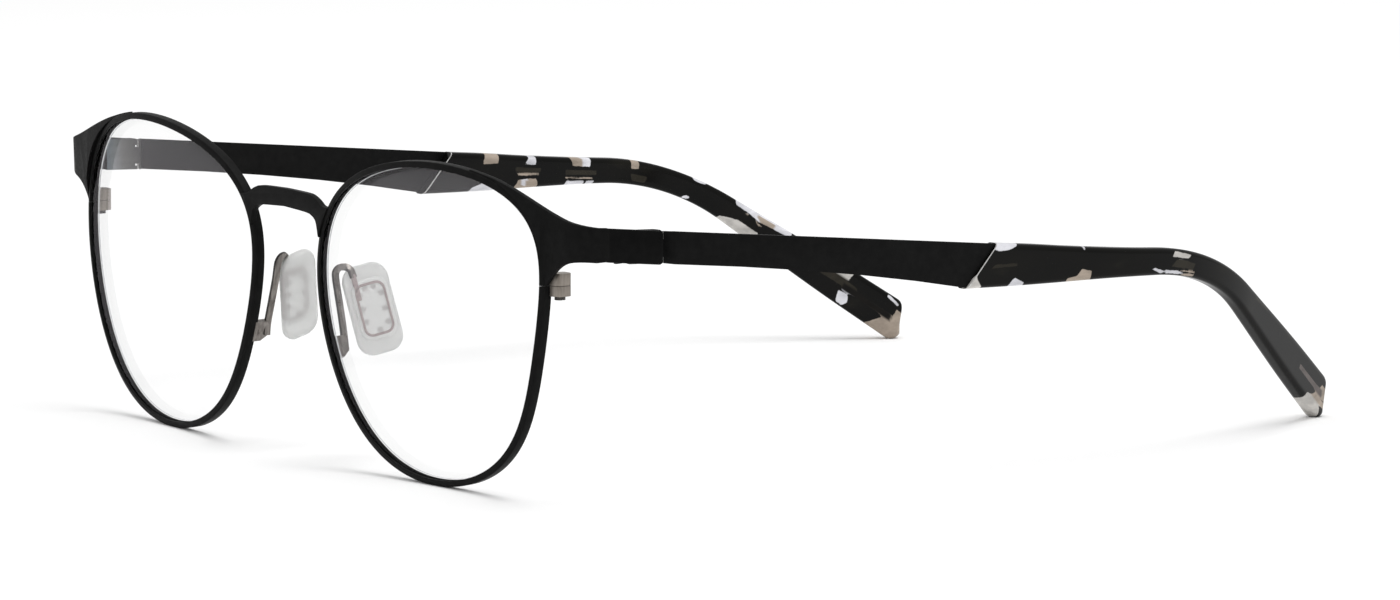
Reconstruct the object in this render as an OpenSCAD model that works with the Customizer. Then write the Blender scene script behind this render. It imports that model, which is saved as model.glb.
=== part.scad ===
// Round full-rim metal eyeglasses: sheet-metal front, screwed eyewires, adjustable
// nose pads, pinned hinges and flat steel temples with acetate tips.
// X is across the face (the wearer's left is +X), Y runs back along the temples,
// Z is up. The glasses stand open on the bottoms of the rims and the two tips.

/* [Lens opening] */
// Width of the lens opening
lens_w = 50; // [49:0.25:50.5]
// Height of the lens opening
lens_h = 43.2; // [42.6:0.2:44]
// Distance between the centres of the two lens openings
lens_spacing = 70.1; // [69:0.1:71]
// How much wider the opening is above its middle than below it
brow_taper = 0.2; // [0.15:0.01:0.25]
// How square the opening's crown is
crown = 0.245; // [0.2:0.005:0.28]
// Backward turn of each lens towards the temple, in degrees
wrap_angle = 4.4; // [3.8:0.1:5]
// Forward lean of the front's top as it stands on a table, in degrees
front_tilt = 2.7; // [2:0.1:3.4]
// Radius of the lens's curve
base_radius = 91; // [87:1:96]
// Lens thickness
lens_t = 1.3; // [1.2:0.1:1.8]

/* [Eyewire] */
// Width of the rim seen from the front
rim_w = 0.9; // [0.8:0.05:1]
// Depth of the rim, front to back
rim_d = 1.4; // [1.3:0.05:1.5]
// Depth of the lens groove
groove = 0.42; // [0.36:0.02:0.46]

/* [Hinge] */
// Distance of the hinge axis behind the front plane
hinge_y = 10.1; // [9.8:0.1:10.4]
// Outer radius of the hinge knuckles
knuckle_r = 0.7; // [0.65:0.05:0.7]
// Radius of the hinge pin
pin_r = 0.35; // [0.3:0.05:0.35]

/* [Temple] */
// Thickness of the steel sheet of the temple
sheet_t = 0.7; // [0.6:0.05:0.7]
// Thickness of the acetate tip
tip_t = 2.5; // [2.2:0.1:3]
// Distance along the temple at which the ear bend starts
bend_start = 100; // [98:0.5:103]
// Radius of the ear bend
bend_r = 41; // [38:0.5:44]
// Angle of the tip below the horizontal
drop_angle = 34; // [32:0.5:36]
// Inward turn of the tip towards the head, in degrees
inset_angle = 26; // [22:1:30]

/* [Nose pads] */
// Height of a nose pad
pad_h = 12.8; // [12:0.2:13.4]
// Width of a nose pad
pad_w = 6.8; // [6.4:0.1:7]
// Thickness of a nose pad
pad_t = 1.9; // [1.7:0.1:2.2]

/* [Hidden] */

black = "#181918";
steel = "#7d7973";
$fn = 48;
e = 0.01;

// ---- Lens outline and the curved front ------------------------------------
lens_x = lens_spacing / 2;
lens_y = -2.35;
rim_step = 4;

// Point on the edge of the opening at angle t, from the opening's middle.
function outline(t) = [
    lens_w * (0.4833 * cos(t) * (1 + brow_taper * sin(t) + crown * pow(sin(t), 2))
              - 0.03 * sin(t) + 0.0265 * pow(sin(t), 2) - 0.0143),
    lens_h * (0.4988 * sin(t) + 0.0473 * cos(t))];
function unit(v) = v / norm(v);
function outward(t) =
    let (d = unit(outline(t + 0.5) - outline(t - 0.5))) [d[1], -d[0]];
// The outline moved outward by n.
function rim_edge(t, n) = outline(t) + n * outward(t);

// A point p across and q up from the lens's middle, d behind the front surface.
function front_point(p, q, d) =
    let (back = (p * p + q * q) / (2 * base_radius) + d)
    [lens_x + p * cos(wrap_angle) + q * sin(wrap_angle) * sin(front_tilt)
     - back * sin(wrap_angle) * cos(front_tilt),
     lens_y + p * sin(wrap_angle) - q * cos(wrap_angle) * sin(front_tilt)
     + back * cos(wrap_angle) * cos(front_tilt),
     q * cos(front_tilt) + back * sin(front_tilt)];
function on_front(pq, d) = front_point(pq[0], pq[1], d);

// The eyewire's section at angle t: outward of the opening, then behind the front.
edge_r = 0.13;
groove_half = 0.38;
eyewire_section = [[0, edge_r], [edge_r, 0], [rim_w - edge_r, 0], [rim_w, edge_r],
                   [rim_w, rim_d - edge_r], [rim_w - edge_r, rim_d], [edge_r, rim_d],
                   [0, rim_d - edge_r], [0, rim_d / 2 + groove_half],
                   [groove, rim_d / 2], [0, rim_d / 2 - groove_half]];
function section_ring(section, t) = [for (nd = section) on_front(rim_edge(t, nd[0]), nd[1])];

// Height of the lens's middle, so that the rim's lowest edge is at zero.
lens_z = -min([for (t = [252:rim_step:288], v = section_ring(eyewire_section, t)) v[2]]);
function raised(points) = [for (v = points) v + [0, 0, lens_z]];

// The closing blocks clamp the eyewire where it is cut, at this angle.
cut_angle = 15;
cut_half = 0.12;
rim_angles = concat([cut_angle + cut_half],
                    [for (t = [20:rim_step:372]) t],
                    [cut_angle + 360 - cut_half]);

// ---- Lofts ----------------------------------------------------------------
// A solid through rings of points. Every ring has the same number of points.
module loft(rings) {
    n = len(rings[0]);
    last = (len(rings) - 1) * n;
    sides = [for (i = [0:len(rings) - 2], j = [0:n - 1])
             let (k = (j + 1) % n, a = i * n + j, b = i * n + k)
             each [[a, b + n, b], [a, a + n, b + n]]];
    ends = [[for (j = [0:n - 1]) j], [for (j = [n - 1:-1:0]) last + j]];
    polyhedron([for (ring = rings) each ring], concat(sides, ends), convexity = 8);
}

// A solid through rings, closed by a point at each end.
module loft_to_points(first, rings, last) {
    n = len(rings[0]);
    count = len(rings) * n;
    sides = [for (i = [0:len(rings) - 2], j = [0:n - 1])
             let (k = (j + 1) % n, a = i * n + j, b = i * n + k)
             each [[a, b, b + n], [a, b + n, a + n]]];
    caps = [for (j = [0:n - 1]) let (k = (j + 1) % n)
            each [[count, k, j], [count + 1, count - n + j, count - n + k]]];
    polyhedron([for (ring = rings) each ring, first, last], concat(sides, caps),
               convexity = 4);
}

function bezier(a, b, c, d, t) =
    pow(1 - t, 3) * a + 3 * pow(1 - t, 2) * t * b + 3 * (1 - t) * t * t * c
    + pow(t, 3) * d;

// Both sides of the glasses: geometry is drawn for the wearer's left, with y = 0
// at the front, and moved so that the origin is under the middle of the glasses.
depth_middle = 71;
module left() {
    translate([0, -depth_middle, 0])
        children();
}
module right() {
    mirror([1, 0, 0])
        left()
            children();
}

// ---- Front ----------------------------------------------------------------
module eyewire() {
    color(black)
        loft([for (t = rim_angles) raised(section_ring(eyewire_section, t))]);
}

// The room taken by the rim and the sheet beside it between two angles.
sheet_back = 0.95;
stub_section = [[-1, -1], [4, -1], [4, sheet_back], [rim_w, sheet_back], [rim_w, rim_d],
                [-1, rim_d]];
module rim_stub(from, to, section = stub_section) {
    loft([for (t = [from:rim_step:to]) raised(section_ring(section, t))]);
}

lens_gap = 0.05;
lens_front = 0.3;
// The same with the room of the lens inside the rim.
lens_room = lens_front + lens_t + 0.1;
rim_and_lens_section = [[-4, -1], [4, -1], [4, sheet_back], [rim_w, sheet_back],
                        [rim_w, rim_d], [0, rim_d], [-0.02, lens_room], [-4, lens_room]];

function lens_ring(t_step, n, d, f) =
    [for (t = [0:t_step:360 - t_step])
     on_front(f * rim_edge(t, n), d) + [0, 0, lens_z]];

module lens() {
    bevel = groove_half - lens_gap;
    rings = [for (f = [0.35, 0.7, 1]) lens_ring(rim_step, -lens_gap, lens_front, f),
             lens_ring(rim_step, -lens_gap, rim_d / 2 - bevel, 1),
             lens_ring(rim_step, groove - 2 * lens_gap, rim_d / 2, 1),
             lens_ring(rim_step, -lens_gap, rim_d / 2 + bevel, 1),
             for (f = [1, 0.7, 0.35])
             lens_ring(rim_step, -lens_gap, lens_front + lens_t, f)];
    color("#c8ccd4", 0.3)
        loft_to_points(on_front([0, 0], lens_front) + [0, 0, lens_z], rings,
                       on_front([0, 0], lens_front + lens_t) + [0, 0, lens_z]);
}

// The bridge is a flat arch between the two eyewires.
bridge_front = -0.95;
bridge_t = 0.95;
bridge_half = [[0, 38], [5.7, 37.85], [7.4, 37.55], [8.7, 37], [9.8, 36.4], [13, 36],
               [13, 31], [8.7, 31.5], [8.5, 33.2], [8.1, 34.2], [7.2, 34.8],
               [5.6, 35.15], [0, 35.45]];

// The space of one eyewire and its lens, as a straight prism.
module rim_envelope() {
    translate([lens_x, lens_y, lens_z])
        rotate([0, 0, wrap_angle])
            rotate([90 + front_tilt, 0, 0])
                linear_extrude(20, center = true)
                    polygon([for (t = [0:rim_step:360 - rim_step])
                             rim_edge(t, rim_w)]);
}

module bridge() {
    color(black)
        translate([0, -depth_middle, 0])
            difference() {
                translate([0, bridge_front + bridge_t, 0])
                    rotate([90, 0, 0])
                        linear_extrude(bridge_t)
                            polygon([each bridge_half,
                                     for (i = [len(bridge_half) - 2:-1:1])
                                     [-bridge_half[i][0], bridge_half[i][1]]]);
                rim_envelope();
                mirror([1, 0, 0])
                    rim_envelope();
            }
}

// The endpiece is a sheet that widens from the eyewire and bends back as a lug.
lug_t = 0.75;
lug_x = 69.2;
lug_end = 15.7;
wing_front = 0.2;
slope = tan(6);
bend_radius = 0.8;
lug_top = 38.6;
lug_bottom = 34;

// Lower and upper edges of the wing, in lens-plane coordinates.
wing_lower = [for (t = [72:-rim_step:20]) rim_edge(t, rim_w),
              rim_edge(cut_angle + cut_half, rim_w)];
wing_end = 33.2;
wing_upper_curve = [rim_edge(72, rim_w + 0.15), [21.6, 20.3], [24.8, 17.3],
                    [wing_end, 15.95]];
wing_lower_curve = [wing_lower[len(wing_lower) - 1], [26.9, 10.1], [28.6, 11.65],
                    [wing_end, 11.2]];
wing_split = 0.7;
wing_stations = concat(
    [for (i = [0:len(wing_lower) - 1])
     let (f = i / (len(wing_lower) - 1))
     [wing_lower[i],
      bezier(wing_upper_curve[0], wing_upper_curve[1], wing_upper_curve[2],
             wing_upper_curve[3], wing_split * f)]],
    [for (i = [1:8])
     let (f = i / 8)
     [bezier(wing_lower_curve[0], wing_lower_curve[1], wing_lower_curve[2],
             wing_lower_curve[3], f),
      bezier(wing_upper_curve[0], wing_upper_curve[1], wing_upper_curve[2],
             wing_upper_curve[3], wing_split + (1 - wing_split) * f)]]);

// Outward the wing's sheet leaves the lens's curve: it becomes upright, then flat
// across, and last turns back towards the lug. Its lowest end stays flush with the rim.
upright_from = 14.5;
flat_from = 16;
turn_from = 28.8;
turn_radius = 6.2;
flush_below = 7;
flush_fade = 4;
function flattened(pq) =
    let (upright = max(pq[0] - upright_from, 0) / (wing_end - upright_from),
         free = min((pq[1] - flush_below) / flush_fade, 1))
    pow(max(pq[0] - turn_from, 0), 2) / (2 * turn_radius)
    - free * (upright * pow(pq[1], 2) + pow(max(pq[0] - flat_from, 0), 2))
      / (2 * base_radius);

function wing_ring(s) =
    [for (pqd = [[s[0], wing_front], [s[0], wing_front + lug_t],
                 [s[1], wing_front + lug_t], [s[1], wing_front]])
     on_front(pqd[0], pqd[1] + flattened(pqd[0])) + [0, 0, lens_z]];

// The lug's section at distance y, turned by angle a from the wing to the side.
function lug_ring(outer, a, z0, z1) =
    [[outer[0], outer[1], z0],
     [outer[0] - lug_t * sin(a), outer[1] + lug_t * cos(a), z0],
     [outer[0] - lug_t * sin(a), outer[1] + lug_t * cos(a), z1],
     [outer[0], outer[1], z1]];

wing_middle = [wing_end, 13.8];
wing_last = on_front(wing_middle, wing_front + flattened(wing_middle));
bend_from = 40;
bend_gap = 0.75;
bend_centre = [lug_x - bend_radius, wing_last[1] + bend_gap + bend_radius * cos(bend_from)];
function lug_z(z, y) = z - slope * (y - bend_centre[1]);

lug_rings = concat(
    [for (a = [bend_from:10:90])
     lug_ring(bend_centre + bend_radius * [sin(a), -cos(a)], a,
              lug_z(lug_bottom, bend_centre[1] - bend_radius * cos(a)),
              lug_z(lug_top, bend_centre[1] - bend_radius * cos(a)))],
    [for (y = [lug_end - 0.4, lug_end])
     lug_ring([lug_x, y], 90, lug_z(lug_bottom, y) + (y == lug_end ? 0.3 : 0),
              lug_z(lug_top, y))]);

module endpiece() {
    color(black)
        loft(concat([for (s = wing_stations) wing_ring(s)], lug_rings));
}

// ---- Closing blocks -------------------------------------------------------
block_x = 59.95;
block_y = 5.2;
block_w = 2.2;
block_d = 2.7;
upper_h = 1.65;
lower_h = 1.45;
block_gap = 0.05;
block_z = on_front(outline(cut_angle), rim_d)[2] + lens_z;
screw_r = 0.45;
screw_head_r = 0.75;
screw_head_h = 0.5;
thread_depth = 1.2;

module block_body(h) {
    translate([block_x - block_w / 2, block_y - block_d / 2, 0])
        linear_extrude(h)
            polygon([[0, 0], [block_w - 0.3, 0], [block_w, 0.3],
                     each [for (a = [0:15:90]) [block_w - 0.7, block_d - 0.7]
                           + 0.7 * [cos(a), sin(a)]],
                     each [for (a = [90:15:180]) [0.5, block_d - 0.5]
                           + 0.5 * [cos(a), sin(a)]]]);
}

module closing_block_upper() {
    color(steel)
        difference() {
            translate([0, 0, block_z + block_gap / 2])
                block_body(upper_h);
            rim_stub(4, 28);
            translate([block_x, block_y, block_z - e])
                cylinder(h = thread_depth + e, r = screw_r);
        }
}

module closing_block_lower() {
    color(steel)
        difference() {
            translate([0, 0, block_z - block_gap / 2 - lower_h])
                block_body(lower_h);
            rim_stub(4, 28);
            translate([block_x, block_y, block_z - 2 * lower_h])
                cylinder(h = 3 * lower_h, r = screw_r + 0.05);
        }
}

// The screw comes from below: its head bears on the lower block.
module closing_screw() {
    head_top = block_z - block_gap / 2 - lower_h;
    color(steel)
        difference() {
            union() {
                translate([block_x, block_y, head_top - screw_head_h])
                    cylinder(h = screw_head_h, r = screw_head_r);
                translate([block_x, block_y, head_top - e])
                    cylinder(h = lower_h + thread_depth, r = screw_r);
            }
            translate([block_x - 1, block_y - 0.12, head_top - screw_head_h - 1])
                cube([2, 0.24, 1.25]);
        }
}

// ---- Nose pads and their arms ---------------------------------------------
// The pad's own frame: x across its width towards the back, y up its length,
// z out of its back face, towards the rim.
pad_centre = [9.8, 7.5, 21.4];
pad_lean = 11;
pad_pitch = 10;
pad_splay = 13;
module pad_frame() {
    translate(pad_centre)
        rotate([pad_pitch, 0, 0])
            rotate([0, -pad_lean, 0])
                rotate([0, 0, -pad_splay])
                    rotate([90, 0, 90])
                        children();
}

module rounded_rect(w, h, r) {
    polygon([for (c = [[1, 1, 0], [-1, 1, 90], [-1, -1, 180], [1, -1, 270]])
             each [for (a = [0:15:90])
                   [c[0] * (w / 2 - r), c[1] * (h / 2 - r)]
                   + r * [cos(a + c[2]), sin(a + c[2])]]]);
}

ring_w = 4.6;
ring_h = 7.6;
ring_band = 0.6;
ring_t = 0.5;
stem_x = -1.75;
stem_w = 0.8;
boss_t = 0.55;
stem_h = 5.5;
tab_r = 0.42;
tab_places = [[-1, 0.72], [-0.35, 1], [0.45, 1], [1, 0.62], [1, -0.1], [1, -0.72],
              [0.1, -1], [-1, -0.5], [-1, 0.1]];

module ring_shape(grow) {
    difference() {
        union() {
            rounded_rect(ring_w + 2 * grow, ring_h + 2 * grow, 1.3 + grow);
            translate([stem_x - stem_w / 2 - grow, 0])
                square([stem_w + 2 * grow, stem_h]);
        }
        rounded_rect(ring_w - 2 * ring_band - 2 * grow, ring_h - 2 * ring_band - 2 * grow,
                     0.8);
    }
    for (t = tab_places)
        translate([t[0] * (ring_w / 2 - ring_band), t[1] * (ring_h / 2 - ring_band)])
            circle(r = tab_r + grow, $fn = 16);
}

module nose_pad() {
    color("#e2e2de", 0.8)
        pad_frame()
            difference() {
                union() {
                    translate([0, 0, -pad_t / 2])
                        linear_extrude(pad_t - boss_t)
                            rounded_rect(pad_w, pad_h, 2.3);
                    linear_extrude(pad_t / 2)
                        rounded_rect(ring_w + 0.7, ring_h + 0.8, 1.6);
                }
                translate([0, 0, pad_t / 2 - ring_t])
                    linear_extrude(ring_t + 1)
                        ring_shape(0.02);
            }
}

// The arm's strip runs from its foot up a post, over a loop and down to the ring.
arm_w = 0.95;
arm_t = 0.6;
arm_route = [[10.35, 2.6, 15.9], [10.05, 2.6, 17.7], [9.1, 2.7, 20.9], [8.1, 2.75, 24.1],
             [7.6, 2.75, 26.1], [7.5, 2.95, 26.8], [7.6, 3.4, 27.25], [7.85, 3.95, 27.35],
             [8.2, 4.35, 27.25], [8.6, 4.55, 27], [8.85, 4.65, 26.6], [9.08, 4.8, 25.9]];
arm_side = [0.92, 0.05, 0.3];

function arm_ring(i) =
    let (a = arm_route[max(i - 1, 0)],
         b = arm_route[min(i + 1, len(arm_route) - 1)],
         along = unit(b - a),
         side = unit(arm_side - (arm_side * along) * along),
         up = cross(along, side))
    [for (k = [[-1, -1], [1, -1], [1, 1], [-1, 1]])
     arm_route[i] + 0.5 * arm_t * k[0] * side + 0.5 * arm_w * k[1] * up];

module pad_arm() {
    color(steel) {
        loft([for (i = [0:len(arm_route) - 1]) arm_ring(i)]);
        difference() {
            translate([10.6, 0, 16.65])
                rotate([0, 18, 0])
                    translate([-0.5, 0.2, -1.65])
                        cube([1, 2.9, 3.3]);
            rim_stub(176, 216, rim_and_lens_section);
        }
        pad_frame()
            translate([0, 0, pad_t / 2 - ring_t])
                linear_extrude(ring_t)
                    ring_shape(0);
    }
}

// ---- Hinge ----------------------------------------------------------------
hinge_x = lug_x - lug_t - knuckle_r - 0.2;
hinge_top = 38.1;
hinge_bottom = 33.65;
eye_h = 1.15;
eye_gap = 0.08;
bracket_t = 0.55;
bracket_x = lug_x - lug_t - bracket_t;
bracket_front = 7.4;

bracket_back = 9.1;
module eye_shape() {
    translate([hinge_x, hinge_y])
        circle(r = knuckle_r);
    polygon([[bracket_x, bracket_back - 0.6], [lug_x - lug_t, bracket_back - 0.6],
             [lug_x - lug_t, bracket_back], [hinge_x + 0.6, hinge_y],
             [hinge_x - 0.6, hinge_y - 0.1], [bracket_x, bracket_back - 0.4]]);
}

module hinge_bracket() {
    color(black)
        difference() {
            union() {
                for (z = [hinge_bottom, hinge_top - eye_h])
                    translate([0, 0, z])
                        linear_extrude(eye_h)
                            eye_shape();
                translate([bracket_x, bracket_front, hinge_bottom + 0.4])
                    cube([bracket_t, bracket_back - bracket_front, hinge_top - hinge_bottom - 0.5]);
            }
            translate([hinge_x, hinge_y, hinge_bottom - 1])
                cylinder(h = 8, r = pin_r);
        }
}

module hinge_pin() {
    color(steel)
        translate([hinge_x, hinge_y, hinge_bottom - 0.05])
            cylinder(h = hinge_top - hinge_bottom + 0.1, r = pin_r);
}

// ---- Temple ---------------------------------------------------------------
plate_start = hinge_y + knuckle_r + 0.12;
plate_x = lug_x - lug_t - 0.25 - sheet_t;
plate_end = 16.2;
strip_start = 17.7;
strip_face = 69.4;
strip_x = strip_face - sheet_t;
strip_end = 71.5;
strip_top = 37.5;
strip_bottom = 33.05;
top_slope = 0.1014;
seam_top = 71.5;
seam_bottom = 66.4;
plan_start = 95;
plan_r = 60;

// The temple's side view: heights of its edges at distance s along it.
function temple_top(s) = strip_top - top_slope * (s - strip_start);
belly_start = [strip_start, strip_bottom];
belly_middle = [45.3, 30.45];
belly_end = [seam_bottom, 26.25];
belly = [for (t = [0:0.1:1])
         pow(1 - t, 2) * belly_start + 2 * t * (1 - t) * belly_middle + t * t * belly_end];

// The plan view: the temple turns inward towards the tip. s runs along it and o is
// the offset outward from its outer face.
plan_end = plan_start + plan_r * inset_angle * PI / 180;
function plan_angle(s) =
    s < plan_start ? 0 : s > plan_end ? inset_angle : (s - plan_start) / plan_r * 180 / PI;
function plan_point(s) =
    let (a = plan_angle(s), past = max(s - plan_end, 0))
    [strip_face - plan_r * (1 - cos(a)) - past * sin(a),
     min(s, plan_start) + plan_r * sin(a) + past * cos(a)];
function bent(s, z, o) =
    let (a = plan_angle(s), c = plan_point(s))
    [c[0] + o * cos(a), c[1] + o * sin(a), z];

// Centre line of the tip's side view at distance u past the seam's middle.
seam_mid = [(seam_top + seam_bottom) / 2, 29.1];
start_angle = 3;
run = bend_start - seam_mid[0];
arc_len = bend_r * (drop_angle - start_angle) * PI / 180;
leg = 32.6;
tip_len = run + arc_len + leg;
function tip_angle(u) =
    u < run ? start_angle
    : start_angle + (drop_angle - start_angle) * min((u - run) / arc_len, 1);
function tip_centre(u) =
    let (a = tip_angle(u), past = max(u - run - arc_len, 0), first = min(u, run))
    seam_mid + first * [cos(start_angle), -sin(start_angle)]
    + bend_r * [sin(a) - sin(start_angle), cos(a) - cos(start_angle)]
    + past * [cos(a), -sin(a)];

// Width of the tip's side view: the belly narrows to a neck and widens to the end.
tip_width_points = [[0, 6.3], [8, 5.75], [18, 4.75], [27, 4.05], [36, 3.75], [44, 3.65],
                    [50, 3.8], [57, 4.3], [65, 5.05], [74, 5.7], [90, 6.2]];
function tip_width(u) = lookup(u, tip_width_points);
// The section planes lean with the seam at the front and with the cut end at the back.
seam_lean = 2.5;
end_lean = -0.9;
function tip_lean(u) =
    u < 14 ? seam_lean * (1 - u / 14) : u > tip_len - 9 ? end_lean * (u - tip_len + 9) / 9 : 0;
end_round = 1.7;
function rounded_off(size, r, gap) = gap >= r ? size : size - r + sqrt(r * r - pow(r - gap, 2));

corner = 0.75;
// A rounded section of half height h and half thickness t.
function tip_section(h, t) =
    let (r = min(corner, t * 0.95, h * 0.95))
    [for (c = [[1, -1, 270], [-1, -1, 180], [-1, 1, 90], [1, 1, 0]], a = [90, 45, 0])
     [c[0] * (t - r) + r * cos(a + c[2]), c[1] * (h - r) + r * sin(a + c[2])]];

tip_outer = 0.35;
function tip_ring(u, h, t, lean) =
    let (a = tip_angle(u), c = tip_centre(u))
    [for (p = tip_section(h, t))
     let (s = c[0] + p[1] * sin(a) + lean * p[1] / h * cos(a),
          z = c[1] + p[1] * cos(a) - lean * p[1] / h * sin(a))
     bent(s, z, tip_outer - tip_t / 2 + p[0])];

tip_stations = concat(
    [0.02], [for (u = [4:4:run - 1]) u],
    [for (i = [0:16]) run + arc_len * i / 16],
    [for (f = [0.12:0.12:0.9]) run + arc_len + leg * f],
    [for (g = [0.9, 0.5, 0.25, 0.08, 0.01]) tip_len - g * end_round]);

module tip_solid() {
    loft([for (u = tip_stations)
          let (gap = tip_len - u,
               h = rounded_off(tip_width(u) / 2, end_round, gap),
               t = rounded_off(tip_t / 2, 0.9, gap))
          tip_ring(u, h, t, tip_lean(u))]);
}

// The core is the temple's own sheet, narrowed to a tongue inside the tip.
core_h = 1.1;
core_inset = 0.04;
core_end = tip_len - 1.4;
core_stations = concat([-2.4], [for (u = [2:4:run - 1]) u],
                       [for (i = [0:12]) run + arc_len * i / 12],
                       [for (f = [0.15:0.15:0.9]) run + arc_len + leg * f], [core_end]);
module core_solid() {
    loft([for (u = core_stations)
          let (a = tip_angle(u), c = tip_centre(u), h = core_h / 2)
          [for (p = [[-core_inset, -h], [core_inset - sheet_t, -h],
                     [core_inset - sheet_t, h], [-core_inset, h]])
           bent(c[0] + p[1] * sin(a), c[1] + p[1] * cos(a), p[0])]]);
}

module temple_tip() {
    color("#141312")
        difference() {
            tip_solid();
            core_solid();
        }
}

plate_top = 38.1;
plate_bottom = 33.5;
module side_profile() {
    polygon([[hinge_y - knuckle_r - 0.1, plate_bottom],
             [plate_end, plate_bottom - 0.3],
             each belly,
             [seam_top, temple_top(seam_top)],
             [strip_start, strip_top],
             [plate_end + 0.2, strip_top],
             [plate_end - 0.3, plate_top - 0.35],
             [plate_end - 1, plate_top - 0.25],
             [hinge_y - knuckle_r - 0.1, plate_top]]);
}

// The joggle is an S-bend that brings the hinge plate inward of the strip.
function joggle(f, offset) =
    [plate_x + offset + (strip_x - plate_x) * (1 - cos(180 * f)) / 2,
     plate_end + (strip_start - plate_end) * f];
module plan_profile() {
    polygon([[plate_x, plate_start], [plate_x + sheet_t, plate_start],
             for (f = [0:0.125:1]) joggle(f, sheet_t),
             [strip_face, strip_end + 1], [strip_x, strip_end + 1],
             for (f = [1:-0.125:0]) joggle(f, 0) + [0, 0.15]]);
}

knuckle_low = hinge_bottom + eye_h + eye_gap;
knuckle_high = hinge_top - eye_h - eye_gap;
slot_w = 0.3;
slot_y = 16.25;
slot_depth = 0.85;
slot_curl = 0.65;

// A relief slot through the sheet: straight in from the edge, then curled forward.
module relief_slot(edge_z, into) {
    translate([plate_x + 1, slot_y, edge_z])
        cube([4, slot_w, 2 * slot_depth], center = true);
    translate([plate_x + 1, slot_y - (slot_curl - slot_w) / 2, edge_z + into * slot_depth])
        cube([4, slot_curl, slot_w], center = true);
}

module temple() {
    color(black)
        difference() {
            union() {
                difference() {
                    intersection() {
                        translate([0, 0, 20])
                            linear_extrude(25)
                                plan_profile();
                        translate([60, 0, 0])
                            rotate([90, 0, 90])
                                linear_extrude(20)
                                    side_profile();
                    }
                    relief_slot(strip_top, -1);
                    relief_slot(strip_bottom, 1);
                }
                translate([hinge_x, hinge_y, knuckle_low])
                    cylinder(h = knuckle_high - knuckle_low, r = knuckle_r);
                translate([0, 0, knuckle_low])
                    linear_extrude(knuckle_high - knuckle_low)
                        polygon([[hinge_x - 0.2, hinge_y], [hinge_x + knuckle_r, hinge_y],
                                 [plate_x + sheet_t, plate_start + 0.2],
                                 [plate_x, plate_start + 0.2]]);
                core_solid();
            }
            translate([hinge_x, hinge_y, 30])
                cylinder(h = 12, r = pin_r + 0.04);
        }
}

left() eyewire();  // eyewire_left
right() eyewire();  // eyewire_right
bridge();
left() endpiece();  // endpiece_left
right() endpiece();  // endpiece_right
left() lens();  // lens_left
right() lens();  // lens_right
left() closing_block_upper();  // closing_block_upper_left
right() closing_block_upper();  // closing_block_upper_right
left() closing_block_lower();  // closing_block_lower_left
right() closing_block_lower();  // closing_block_lower_right
left() closing_screw();  // closing_screw_left
right() closing_screw();  // closing_screw_right
left() pad_arm();  // pad_arm_left
right() pad_arm();  // pad_arm_right
left() nose_pad();  // nose_pad_left
right() nose_pad();  // nose_pad_right
left() hinge_bracket();  // hinge_bracket_left
right() hinge_bracket();  // hinge_bracket_right
left() hinge_pin();  // hinge_pin_left
right() hinge_pin();  // hinge_pin_right
left() temple();  // temple_left
right() temple();  // temple_right
left() temple_tip();  // temple_tip_left
right() temple_tip();  // temple_tip_right
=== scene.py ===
from math import cos, hypot, pi, radians, sin, sqrt, tan

import bmesh
import bpy
from mathutils import Matrix, Vector


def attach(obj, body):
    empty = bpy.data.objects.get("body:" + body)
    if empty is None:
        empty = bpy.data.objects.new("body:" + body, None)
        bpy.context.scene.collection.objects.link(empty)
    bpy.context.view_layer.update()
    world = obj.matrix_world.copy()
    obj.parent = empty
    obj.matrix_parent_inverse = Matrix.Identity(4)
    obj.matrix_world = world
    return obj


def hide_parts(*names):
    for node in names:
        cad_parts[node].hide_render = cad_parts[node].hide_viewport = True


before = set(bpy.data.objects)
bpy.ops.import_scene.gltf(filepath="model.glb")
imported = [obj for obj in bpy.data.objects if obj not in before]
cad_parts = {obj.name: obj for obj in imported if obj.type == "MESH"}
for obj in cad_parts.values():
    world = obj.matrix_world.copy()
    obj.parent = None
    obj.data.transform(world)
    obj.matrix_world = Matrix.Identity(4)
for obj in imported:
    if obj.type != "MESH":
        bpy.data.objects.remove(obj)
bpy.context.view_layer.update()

# Lengths are in millimetres in the drawing frame: x across, y back from the front, z up.
# put() turns them into metres in the part's frame and mirrors the wearer's right side.
MM = 0.001
DEPTH_MIDDLE = 71.0
SIDES = (("left", 1), ("right", -1))


# ---- The front's shape ------------------------------------------------------
LENS_W, LENS_H, LENS_X, LENS_Y = 50.0, 43.2, 35.05, -2.35
BROW_TAPER, CROWN = 0.2, 0.245
WRAP, TILT, BASE_RADIUS = radians(4.4), radians(2.7), 91.0
RIM_W, RIM_D, GROOVE, GROOVE_HALF, EDGE_R = 0.9, 1.4, 0.42, 0.38, 0.13
CUT_ANGLE, CUT_HALF = 15, 0.12
LENS_FRONT, LENS_T = 0.3, 1.3


def outline(t):
    """The lens opening's outline at an angle in degrees, from the temple side upwards."""
    c, s = cos(radians(t)), sin(radians(t))
    return Vector((LENS_W * (0.4833 * c * (1 + BROW_TAPER * s + CROWN * s * s)
                             - 0.03 * s + 0.0265 * s * s - 0.0143),
                   LENS_H * (0.4988 * s + 0.0473 * c)))


def rim_edge(t, n):
    """The outline moved outward by n."""
    d = (outline(t + 0.5) - outline(t - 0.5)).normalized()
    return outline(t) + n * Vector((d.y, -d.x))


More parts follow.
